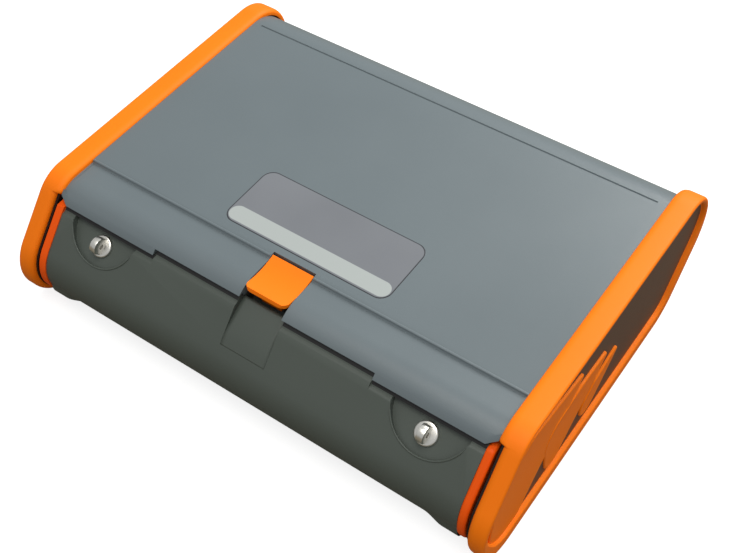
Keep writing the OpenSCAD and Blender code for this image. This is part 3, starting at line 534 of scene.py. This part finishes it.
def bumper(side):
    """Band round the side: a closed section in x and inset, carried along the belt, wider over the lid.
    Its outer lip is narrow, and the channel floor behind the lip is the side plate's colour. The section
    is the outer corner's quarter round, the inner edge's roll, the back, and the channel up to the lip."""
    front = 180 - np.degrees(np.arcsin((FRONT_RISE - FRONT_TOP[1]) / FRONT_TOP[2]))
    rear = np.degrees(np.arcsin((REAR_RISE - REAR_TOP[1]) / REAR_TOP[2]))
    rows = belt(SIDE, 3.0, np.concatenate([front, rear]))
    middle_y, middle_z, radius, angle = rows.T[:, :, None]
    angle = np.radians(angle)
    z = middle_z + radius * np.sin(angle)
    wide = np.where(middle_y < 0, np.interp(z, FRONT_RISE[1:5], GROWTH), np.interp(z, REAR_RISE[:4], GROWTH))
    ones = np.ones_like(wide)
    inner = 134.4 - 3.1 * wide
    depth = 2.9 - 0.7 * wide
    width = 3.6 + 0.5 * wide
    turn = np.radians(np.linspace(0, 90, 6))[None, :]
    roll = np.radians(np.linspace(0, 90, 8))[None, :]
    lip = 3.5 + 3.9 * smooth((0.35 - np.sin(angle)) / 0.9)
    lip_x = np.array([[PLATE_X, PLATE_X, 141.65, 142.3, 143.3, 143.8, OUTER_X]])
    lip_inset = np.hstack([CHANNEL_INSET * ones, lip + 0.6, lip + 0.25, lip, lip - 0.4, lip - 0.9, 2.0 * ones])
    x = np.hstack([OUTER_X - 1.5 + 1.5 * ones * np.cos(turn), inner + width * (1 - np.sin(roll)),
                   inner, BAND_BACK_X * ones, BAND_BACK_X * ones, ones * lip_x])
    inset = np.hstack([1.3 * ones * (1 - np.sin(turn)), depth * (1 - np.cos(roll)),
                       3.5 * ones, 3.5 * ones, CHANNEL_INSET * ones, lip_inset])
    reach = radius - inset
    points = np.stack([side * x, middle_y + reach * np.cos(angle), middle_z + reach * np.sin(angle)], -1)
    faces = grid_faces(*x.shape, True, True)
    faces = faces if side < 0 else faces[:, ::-1]
    name = sided(side, "bumper")
    piece = stand_for(mesh_piece(name + "_band", points.reshape(-1, 3), faces, 40), name)
    piece.data.materials.append(FINISHES["side"])
    floor = np.arange(x.shape[1]) == x.shape[1] - lip_x.size
    piece.data.polygons.foreach_set("material_index", np.tile(floor, x.shape[0]).astype(np.int32))


# ---------------------------------------------------------------- grip blades

# Of each petal: how far it is kept in from the side outline, and its circles [y, z, radius].
BLADES = [
    (4.4, [[-86.0, 22.0, 17.0], [-84.0, 44.0, 17.0], [-74.0, 47.0, 14.0], [-70.0, 56.0, 10.0],
           [-46.0, 56.5, 5.6], [-25.5, 58.0, 2.0]]),
    (8.8, [[-43.5, 17.5, 8.5], [-41.0, 33.0, 14.0], [-22.0, 38.5, 11.0], [-9.0, 43.0, 6.0],
           [0.0, 46.6, 2.2]]),
    (8.8, [[-10.0, 20.5, 8.2], [-3.0, 26.5, 7.6], [6.0, 32.0, 4.6], [14.0, 36.6, 1.7]]),
]
# From the petal's rim to its flat: [inset, height over the side plate].
BLADE_RIM = np.array([[0.0, 0.0], [0.0, 0.75], [0.15, 1.1], [0.45, 1.35], [0.95, 1.45], [1.6, 1.4],
                      [3.0, 1.25]])


def petal_outline(circles, kept_in, inset, count=180):
    """Outline of the belt round circles, kept inside the band: along each ray from the middle of the
    circles, the nearest of all tangent lines of both belts."""
    circles = np.asarray(circles)
    middle = circles[:, :2].mean(0)
    ray = np.radians(np.arange(count) * 360 / count)
    ray = np.column_stack([np.cos(ray), np.sin(ray)])
    lean = np.radians(np.arange(720) * 0.5)
    lean = np.column_stack([np.cos(lean), np.sin(lean)])
    own = (circles[:, :2] @ lean.T + circles[:, 2:3]).max(0)
    ring = (SIDE[:, :2] @ lean.T + SIDE[:, 2:3]).max(0) - kept_in
    reach = np.minimum(own, ring) - inset - middle @ lean.T
    facing = ray @ lean.T
    length = np.where(facing > 0.02, reach / np.maximum(facing, 0.02), np.inf).min(1)
    return middle + ray * length[:, None]


def blades(side):
    """Three petals: rings of the outline at growing insets, lifted out of the side plate, with a face
    that leans back towards its lower edge."""
    points, faces, start = [], [], 0
    for kept_in, circles in BLADES:
        rings = []
        low = min(z - radius for _, z, radius in circles)
        high = max(z + radius for _, z, radius in circles)
        for inset, height in BLADE_RIM:
            outline = petal_outline(circles, kept_in, inset)
            share = np.clip((outline[:, 1] - low) / (high - low), 0, 1)
            rings.append(np.column_stack([side * (PLATE_X + height * (0.45 + 0.55 * share)), outline]))
        count = len(rings[0])
        middle = rings[-1].mean(0)
        points.append(np.vstack(rings + [middle[None, :]]))
        j = np.arange(count)
        last, hub = (len(rings) - 1) * count, len(rings) * count
        fan = np.column_stack([last + j, last + (j + 1) % count, np.full(count, hub)])
        made = grid_faces(len(rings), count, False, True).tolist() + fan.tolist() + [j[::-1].tolist()]
        faces += [[start + corner for corner in (face if side < 0 else face[::-1])] for face in made]
        start += len(points[-1])
    name = sided(side, "blades")
    stand_for(mesh_piece(name + "_petals", np.vstack(points), faces, 50), name)


# ---------------------------------------------------------------- base front

FRONT_INSET = 3.2       # of the base's skin on the slope
BASE_INSET = 5.1        # and under the nose, from this angle on
BASE_ANGLE = 217
RIM_Z = 63.5
RIM_LIFT = 2.4          # the rim is higher by this in the middle


def base_skin(angle):
    """Inset of the base's skin round the nose: it leans in from the slope to the underside."""
    share = np.clip((BASE_ANGLE - angle) / (BASE_ANGLE - np.degrees(SLOPE)), 0, 1)
    return BASE_INSET - (BASE_INSET - FRONT_INSET) * share


def under_skin(points):
    """How far points [y, z] lie under the base's front skin."""
    away = points - NOSE[:2]
    angle = np.degrees(np.arctan2(away[..., 1], away[..., 0])) % 360
    on_slope = SLOPE_REACH - points @ OUT_OF_SLOPE - FRONT_INSET
    on_nose = NOSE[2] - np.hypot(away[..., 0], away[..., 1]) - base_skin(angle)
    return np.where(angle < np.degrees(SLOPE), on_slope, on_nose)


def tube(name, path, out, up, radius, body, finish, sides=10):
    """Bead: circles of a radius, in the plane of out and up, carried along a path and closed at its ends."""
    beta = np.arange(sides) * 2 * np.pi / sides
    ring = out[:, None] * np.cos(beta)[None, :, None] + up[:, None] * np.sin(beta)[None, :, None]
    points = path[:, None] + ring * radius[:, None, None]
    faces = grid_faces(len(path), sides, False, True).tolist()
    faces += [list(range(sides))[::-1], list(range((len(path) - 1) * sides, len(path) * sides))]
    piece = mesh_piece(name, points.reshape(-1, 3), faces, 60)
    face_outward(piece)
    paint(piece, finish)
    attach(piece, body)


def lug_frame():
    """Origin, up and out directions, in y and z, of the tilted floor of a strap lug's dish."""
    origin = np.array([slope_y(RIM_Z, FRONT_INSET), RIM_Z]) - 5.0 * OUT_OF_SLOPE
    tilt = np.radians(10.3)
    up = np.cos(tilt) * UP_SLOPE - np.sin(tilt) * OUT_OF_SLOPE
    out = np.sin(tilt) * UP_SLOPE + np.cos(tilt) * OUT_OF_SLOPE
    return origin, up, out


def dish_bead(side):
    """Raised edge of a lug's dish: where the dish's cylinder meets the base's skin, found along the
    cylinder by halving, and left out above the shoulder of the rim."""
    origin, up, out = lug_frame()
    shoulder_z = 59.6
    turn = np.radians(np.linspace(-205, 25, 240))
    flat = origin + DISH_RADIUS * np.sin(turn)[:, None] * up
    low, high = np.full(len(turn), -4.0), np.full(len(turn), 16.0)
    for _ in range(40):
        mid = (low + high) / 2
        inside = under_skin(flat + mid[:, None] * out) > -0.05
        low, high = np.where(inside, mid, low), np.where(inside, high, mid)
    edge = flat + low[:, None] * out
    keep = edge[:, 1] < shoulder_z
    turn, edge = turn[keep], edge[keep]
    path = np.column_stack([side * LUG_X + DISH_RADIUS * np.cos(turn), edge])
    away = np.column_stack([np.cos(turn), np.sin(turn)[:, None] * up])
    lift = np.tile(np.concatenate([[0], out]), (len(turn), 1))
    end = np.linspace(0, 1, len(turn))
    radius = 0.5 * np.clip(np.minimum(end, 1 - end) / 0.06, 0.15, 1)
    tube(sided(side, "dish_bead"), path, away, lift, radius, "case", "base")


def ridge_bead(side):
    """Rounded edge along the top of the lid's ridge, from the latch's slot to the bumper."""
    count = 24
    path = np.column_stack([side * np.linspace(13.3, 131.2, count), np.full(count, -56.9),
                            np.full(count, 72.05)])
    back = np.tile([0.0, 1.0, 0.0], (count, 1))
    high = np.tile([0.0, 0.0, 1.0], (count, 1))
    tube(sided(side, "ridge_bead"), path, back, high, np.full(count, 0.85), "lid", "lid", 14)


def rim_seal(side):
    """Painted shade in the seam: a thin black strip on the rim's tongue that stands for the seam's shade,
    higher in the middle, up to the scoop.
    """
    x = np.array([13.6, 65.7, 66.3, 127.2])
    lift = np.array([RIM_LIFT, RIM_LIFT, 0, 0])
    inset = np.array([4.6, 4.43, 4.43, 4.6])
    z = np.array([61.4, 61.5, 63.2, 63.35])[None, :] + lift[:, None]
    points = np.stack([side * np.tile(x[:, None], (1, 4)), slope_y(z, inset[None, :]), z], -1)
    ends = [[3, 2, 1, 0], [12, 13, 14, 15]]
    faces = np.vstack([grid_faces(len(x), 4, False, True), ends])
    faces = faces if side < 0 else faces[:, ::-1]
    piece = mesh_piece(sided(side, "rim_seal"), points.reshape(-1, 3), faces, 30)
    face_outward(piece)
    paint(piece, "rubber")
    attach(piece, "case")


def base_flare(side):
    """Swelling of the base's underside round the foot: a patch in x and angle round the nose, raised by a
    smooth step in x and another in angle, and let in at its edges."""
    x = np.linspace(106, 127.4, 30)[:, None]
    angle = np.linspace(190, 258, 48)[None, :]
    raised = 2.65 * smooth((x - 107) / 12) * smooth((angle - 191) / 26) - 0.12
    raised = np.where(angle > 257, -0.4, raised)
    reach = NOSE[2] - base_skin(angle) + raised
    turn = np.radians(angle)
    points = np.stack([side * x * np.ones_like(raised), NOSE[0] + reach * np.cos(turn),
                       NOSE[1] + reach * np.sin(turn)], -1)
    faces = grid_faces(*raised.shape)
    faces = faces if side > 0 else faces[:, ::-1]
    piece = mesh_piece(sided(side, "base_flare"), points.reshape(-1, 3), faces, 50)
    paint(piece, "base")
    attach(piece, "case")


def scoop_floor():
    """Floor of the finger scoop: a sheet that leaves the base's front along the slope, sinks by the square
    of its height, and turns back level under the latch."""
    z = np.linspace(46.9, 62.6, 30)
    inset = 3.18 + 4.4 * np.clip((z - 50) / 12.6, 0, 1) ** 2
    y = slope_y(z, inset)
    y = np.concatenate([y, y[-1] + [0.35, 0.9, 2.2]])
    z = np.concatenate([z, [62.85, 63.0, 63.05]])
    x = np.linspace(-13.35, 13.35, 12)[:, None]
    points = np.stack([x * np.ones_like(y), y * np.ones_like(x), z * np.ones_like(x)], -1)
    faces = grid_faces(len(x), len(y))[:, ::-1]
    piece = mesh_piece("scoop_floor", points.reshape(-1, 3), faces, 60)
    wall = piece.modifiers.new("wall", "SOLIDIFY")
    wall.thickness = 1.2 * MM
    wall.offset = -1
    paint(piece, "base")
    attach(piece, "case")


# Of the lug's flange, [radius, height]. Of its plate, half its thickness and how far its outline reaches
# from the hole's rim to its own edge.
STUD = np.array([[0, -6], [2.5, -6], [2.5, -0.05], [5.7, -0.05], [6, 0.2], [6, 1.0], [5.6, 1.5],
                 [5.0, 1.7], [0, 1.75]])
PLATE_HALF = np.array([-1.9, -1.9, -1.75, -1.2, 0, 1.2, 1.75, 1.9, 1.9])
PLATE_SHARE = np.array([0, 0.86, 0.955, 0.99, 1, 0.99, 0.955, 0.86, 0])
HOLE_RADIUS = 1.4
HOLE_HEIGHT = 3.8


def strap_lugs():
    """Two studs: a turned flange with its shank, and an upright plate with rounded edges and a hole, whose
    outline is a ray length round the hole."""
    turn = np.arange(48) * 2 * np.pi / 48
    r, h = STUD[:, 0][:, None], STUD[:, 1][:, None] * np.ones(48)
    stud = np.stack([r * np.cos(turn), r * np.sin(turn), h], -1)
    around = np.arange(72) * 2 * np.pi / 72
    across, along = np.cos(around), np.sin(around)
    foot = np.minimum(4.5 / np.maximum(abs(across), 1e-6), 2.9 / np.maximum(abs(along), 1e-6))
    edge = np.minimum(np.where(along >= 0, 4.5 + 0.7 * along, foot), 5.2)
    ray = HOLE_RADIUS + (edge - HOLE_RADIUS) * PLATE_SHARE[:, None]
    plate = np.stack([PLATE_HALF[:, None] * np.ones(72), ray * across, HOLE_HEIGHT + ray * along], -1)
    origin, up, out = lug_frame()
    origin = origin - 9.9 * up
    points, faces, start = [], [], 0
    for side in SIDES:
        for part, loop in ((stud, False), (plate, True)):
            flat = part.reshape(-1, 3)
            standing = origin + flat[:, 1:2] * up + flat[:, 2:3] * out
            points.append(np.column_stack([side * LUG_X + flat[:, 0], standing]))
            faces += (grid_faces(part.shape[0], part.shape[1], loop, True) + start).tolist()
            start += len(flat)
    piece = mesh_piece("strap_lug_studs", np.vstack(points), faces, 45)
    face_outward(piece, join=1e-6)
    stand_for(piece, "strap_lugs")


# ---------------------------------------------------------------- reshaped copies

def set_rim(points):
    """Base: the shoulder under the seam becomes a flatter ledge, as its light upper side shows. Its corners
    keep their order by inset, and take new insets and heights between those of three places."""
    points = points.copy()
    inset = SLOPE_REACH - points[:, 1:] @ OUT_OF_SLOPE
    for lift in (0.0, RIM_LIFT):
        raised = points[:, 2] - lift
        here = abs(points[:, 0]) < 66.4 if lift else abs(points[:, 0]) > 65.6
        here &= (inset > 3.25) & (inset < 4.6) & (raised > 60.3) & (raised < 61.8) & (points[:, 1] < -70)
        depth = np.interp(inset, [3.2, 4.1, 4.5], [3.2, 3.5, 4.5])
        height = np.interp(inset, [3.2, 4.1, 4.5], [60.2, 60.55, 60.8]) + lift
        points[here, 1] = slope_y(height, depth)[here]
        points[here, 2] = height[here]
    return points


def set_lid_corners(points):
    """Lid: the apron's lower edge turns up towards the bumpers, by up to 3.2 mm."""
    points = points.copy()
    front = (points[:, 1] < -79) & (points[:, 2] < 68.2) & (points[:, 2] > 62)
    rise = np.clip((abs(points[:, 0]) - APRON_CORNER_X) / 4.8, 0, 1) * 3.2 * front
    points[:, 2] += rise
    points[:, 1] += rise * UP_SLOPE[0] / UP_SLOPE[1]
    return points


def set_strip(points):
    """End strips: let in on the front, so that they stand just proud of the base, and a little higher."""
    points = points.copy()
    let_in, higher, last = 0.95, 0.6, np.radians(235)
    away = points[:, 1:] - NOSE[:2]
    angle = np.arctan2(away[:, 1], away[:, 0]) % (2 * np.pi)
    turn = np.maximum(angle, SLOPE)
    front = (points[:, 1] < -84) & (angle < last)
    share = np.clip((last - turn) / np.radians(60), 0, 1) * front
    points[:, 1] -= let_in * share * np.cos(turn)
    points[:, 2] -= let_in * share * np.sin(turn)
    top = (points[:, 1] < -80) & (points[:, 2] > 62.5)
    points[top, 2] += higher
    points[top, 1] += higher * UP_SLOPE[0] / UP_SLOPE[1]
    return points


def set_feet(points):
    """Feet: their upper front tucks in under the base's skin."""
    points = points.copy()
    away = points[:, 1:] - NOSE[:2]
    reach = np.hypot(away[:, 0], away[:, 1])
    share = np.clip((points[:, 2] - 2) / 3, 0, 1) * (points[:, 1] < -80)
    points[:, 1:] -= 2.8 * (share / np.maximum(reach, 1))[:, None] * away
    return points


def set_label(points):
    """Label plate: a little larger all round, 49.6 by 20.2 from its middle and not 47.5 by 18."""
    points = points.copy()
    points[:, 0] *= 49.6 / 47.5
    points[:, 1] = (points[:, 1] + 30.6) * 20.2 / 18 + LABEL_Y
    return points


def latch_trims():
    """Planes that round the latch's two front corners: tangents of a circle in each corner."""
    trims = []
    for side in SIDES:
        for lean in np.radians([12, 30, 48, 66, 84]):
            way = np.array([side * np.sin(lean), -np.cos(lean), 0])
            trims.append((np.array([side * 8.0, -75.4, 70.0]) + 4.4 * way, way))
    return trims


for side in SIDES:
    bumper(side)
    blades(side)
    dish_bead(side)
    ridge_bead(side)
    base_flare(side)
    rim_seal(side)
scoop_floor()
strap_lugs()

APRON_CUTS = [((side * x, 0, 0), (1, 0, 0)) for side in SIDES for x in (APRON_CORNER_X, 128.6)]
STRIP_CUTS = [((0, -80, 0), (0, 1, 0)), ((0, -84.5, 0), (0, 1, 0))]
eased("base_tub", 0.3, reshape=set_rim)
eased("lid_shell", 0.4, cuts=APRON_CUTS, reshape=set_lid_corners)
for name in ("left_end_bumper", "right_end_bumper"):
    eased(name, 1.3, cuts=STRIP_CUTS, reshape=set_strip)
eased("latch", 0.6, trims=latch_trims())
eased("feet", 0.6, reshape=set_feet)
eased("label_plate", 0.12, reshape=set_label)

EASE = {
    "left_cheek": 0.3, "right_cheek": 0.3,
    "selector_knob": 0.4, "start_button": 0.4, "display_bezel": 0.3, "socket_housings": 0.3,
    "probe_socket": 0.3, "usb_port": 0.15, "battery_cover": 0.3, "dial_ring": 0.2, "front_panel": 0.25,
    "latch_keeper": 0.2, "display_window": 0.2,
}
EASE.update({node: 0.5 for node in frame["nodes"] if node.startswith("key_")})

for node, width in EASE.items():
    eased(node, width)

for node, part in frame["nodes"].items():
    if node not in DRESSED:
        paint(part, NODE_FINISH.get(node, "key"))


# ---------------------------------------------------------------- printed marks inside

def box_of(node):
    """Lowest and highest corner of a CAD node, in millimetres."""
    points = corners(frame["nodes"][node].data)
    return points.min(0), points.max(0)


def printed(name, outlines, z, body):
    """Thin raised print: each outline, an array of x and y, becomes a prism 0.12 mm high."""
    points, faces, start = [], [], 0
    for outline in outlines:
        count = len(outline)
        for height in (-0.05, 0.12):
            points.append(np.column_stack([outline, np.full(count, z + height)]))
        j = np.arange(count)
        wall = np.column_stack([j, (j + 1) % count, count + (j + 1) % count, count + j]) + start
        faces += wall.tolist() + [(j[::-1] + start).tolist(), (j + count + start).tolist()]
        start += 2 * count
    piece = mesh_piece(name, np.vstack(points), faces, 30)
    paint(piece, "print")
    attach(piece, body)


def turned_about(outline, degrees):
    """Outline turned to the left about its own origin."""
    angle = np.radians(degrees)
    return outline @ np.array([[np.cos(angle), np.sin(angle)], [-np.sin(angle), np.cos(angle)]])


def stadium(length, width, count=12):
    """Bar along y with half-round ends."""
    turn = np.linspace(0, np.pi, count)
    cap = np.column_stack([np.cos(turn), np.sin(turn)]) * width / 2
    up = np.array([0, (length - width) / 2])
    return np.vstack([cap + up, -cap - up])


def key_marks():
    """Arrows, bars and dots on the keys, each on its own key."""
    arrow = np.array([[-2.6, -1.6], [2.6, -1.6], [0, 2.6]])
    bar = stadium(6.4, 1.3)
    dot = stadium(2.6, 2.59)
    signs = {
        "key_up": [arrow], "key_down": [-arrow], "key_left": [turned_about(arrow, 90)],
        "key_right": [turned_about(arrow, -90)], "key_enter": [dot],
        "key_escape": [turned_about(bar, 45), turned_about(bar, -45)],
        "key_light": [dot * 0.8] + [turned_about(stadium(1.9, 0.7) + [0, 3.2], 60 * k) for k in range(6)],
        "key_help": [bar + [-1.7, 0], bar + [1.7, 0]], "key_power": [stadium(5.6, 1.2)],
        "start_button": [np.array([[-2.4, -3.4], [4.2, 0], [-2.4, 3.4]])],
    }
    for k in range(1, 5):
        signs["key_f%d" % k] = [turned_about(stadium(7, 1), 90)]
    for node, outlines in signs.items():
        low, high = box_of(node)
        middle = (low + high)[:2] / 2
        printed(node + "_mark", [outline + middle for outline in outlines], high[2], BODY[node])


def dial_numbers():
    """Plain numbers round the dial, with a short line at each, and the knob's pointer."""
    outlines = []
    for step in range(8):
        angle = 210 - 30 * step
        way = np.array([np.cos(np.radians(angle)), np.sin(np.radians(angle))])
        outlines.append(turned_about(stadium(2.4, 0.6), angle - 90) + DIAL + 22.0 * way)
        curve = bpy.data.curves.new("dial_number", "FONT")
        curve.body = str(step + 1)
        curve.size = 5.2 * MM
        curve.extrude = 0.08 * MM
        curve.align_x = "CENTER"
        curve.align_y = "CENTER"
        sign = bpy.data.objects.new("dial_number", curve)
        mesh = bpy.data.meshes.new_from_object(sign)
        set_corners(mesh, corners(mesh) + [*(DIAL + 26.4 * way), DIAL_TOP])
        bpy.data.objects.remove(sign)
        piece = bpy.data.objects.new("dial_number_%d" % (step + 1), mesh)
        bpy.context.scene.collection.objects.link(piece)
        paint(piece, "print")
        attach(piece, BODY["dial_ring"])
    printed("dial_lines", outlines, DIAL_TOP, BODY["dial_ring"])
    high = box_of("selector_knob")[1]
    printed("knob_pointer", [stadium(9, 1.8) + DIAL + [0, 10.5]], high[2], "selector")


key_marks()
dial_numbers()


# ---------------------------------------------------------------- light and floor

def light_scene():
    """White floor and surroundings to the eye, a soft grey room, and two large lamps for the object: one
    behind it and a slightly warmer one over it."""
    world = bpy.data.worlds.new("studio")
    bpy.context.scene.world = world
    world.use_nodes = True
    tree = world.node_tree
    tree.nodes.clear()
    rays = tree.nodes.new("ShaderNodeLightPath")
    seen = tree.nodes.new("ShaderNodeMath")
    seen.operation = "MAXIMUM"
    tree.links.new(rays.outputs["Is Camera Ray"], seen.inputs[0])
    tree.links.new(rays.outputs["Is Transmission Ray"], seen.inputs[1])
    room = tree.nodes.new("ShaderNodeBackground")
    room.inputs["Color"].default_value = (0.96, 0.98, 1.0, 1)
    room.inputs["Strength"].default_value = 0.5
    white = tree.nodes.new("ShaderNodeBackground")
    white.inputs["Color"].default_value = (1, 1, 1, 1)
    mix = tree.nodes.new("ShaderNodeMixShader")
    out = tree.nodes.new("ShaderNodeOutputWorld")
    tree.links.new(seen.outputs[0], mix.inputs[0])
    tree.links.new(room.outputs[0], mix.inputs[1])
    tree.links.new(white.outputs[0], mix.inputs[2])
    tree.links.new(mix.outputs[0], out.inputs["Surface"])

    for name, place, size, power, colour in (
            ("window", (0.3, 1.25, 1.08), 1.0, 23, (1.0, 1.0, 0.98)),
            ("ceiling", (0.2, -0.4, 1.9), 1.2, 18, (1.0, 0.97, 0.92))):
        data = bpy.data.lights.new(name, "AREA")
        data.shape = "SQUARE"
        data.size = size
        data.energy = power
        data.color = colour
        lamp = bpy.data.objects.new(name, data)
        aim = Vector((0, 0, 0.03)) - Vector(place)
        lamp.matrix_world = Matrix.Translation(place) @ aim.to_track_quat("-Z", "Y").to_matrix().to_4x4()
        bpy.context.scene.collection.objects.link(lamp)

    points = 4000.0 * np.array([[-1, -1, 0], [1, -1, 0], [1, 1, 0], [-1, 1, 0]])
    floor = mesh_piece("floor", points, [[0, 1, 2, 3]])
    finish = Finish("floor_paper")
    rays = finish.node("ShaderNodeLightPath")
    shine = finish.node("ShaderNodeEmission", inputs={"Color": (1, 1, 1, 1), "Strength": 0.8})
    matt = finish.node("ShaderNodeBsdfDiffuse", inputs={"Color": (0.4, 0.4, 0.4, 1)})
    pale = finish.node("ShaderNodeAddShader", inputs={0: shine.outputs[0], 1: matt.outputs[0]})
    grey = finish.node("ShaderNodeBsdfDiffuse", inputs={"Color": (0.2, 0.18, 0.14, 1)})
    mixed = finish.node("ShaderNodeMixShader", inputs={0: rays.outputs["Is Camera Ray"], 1: grey.outputs[0],
                                                       2: pale.outputs[0]})
    finish.feed(finish.tree.nodes["Material Output"].inputs["Surface"], mixed.outputs[0])
    floor.data.materials.append(finish.material)


light_scene()
bpy.context.scene.view_settings.view_transform = "Standard"
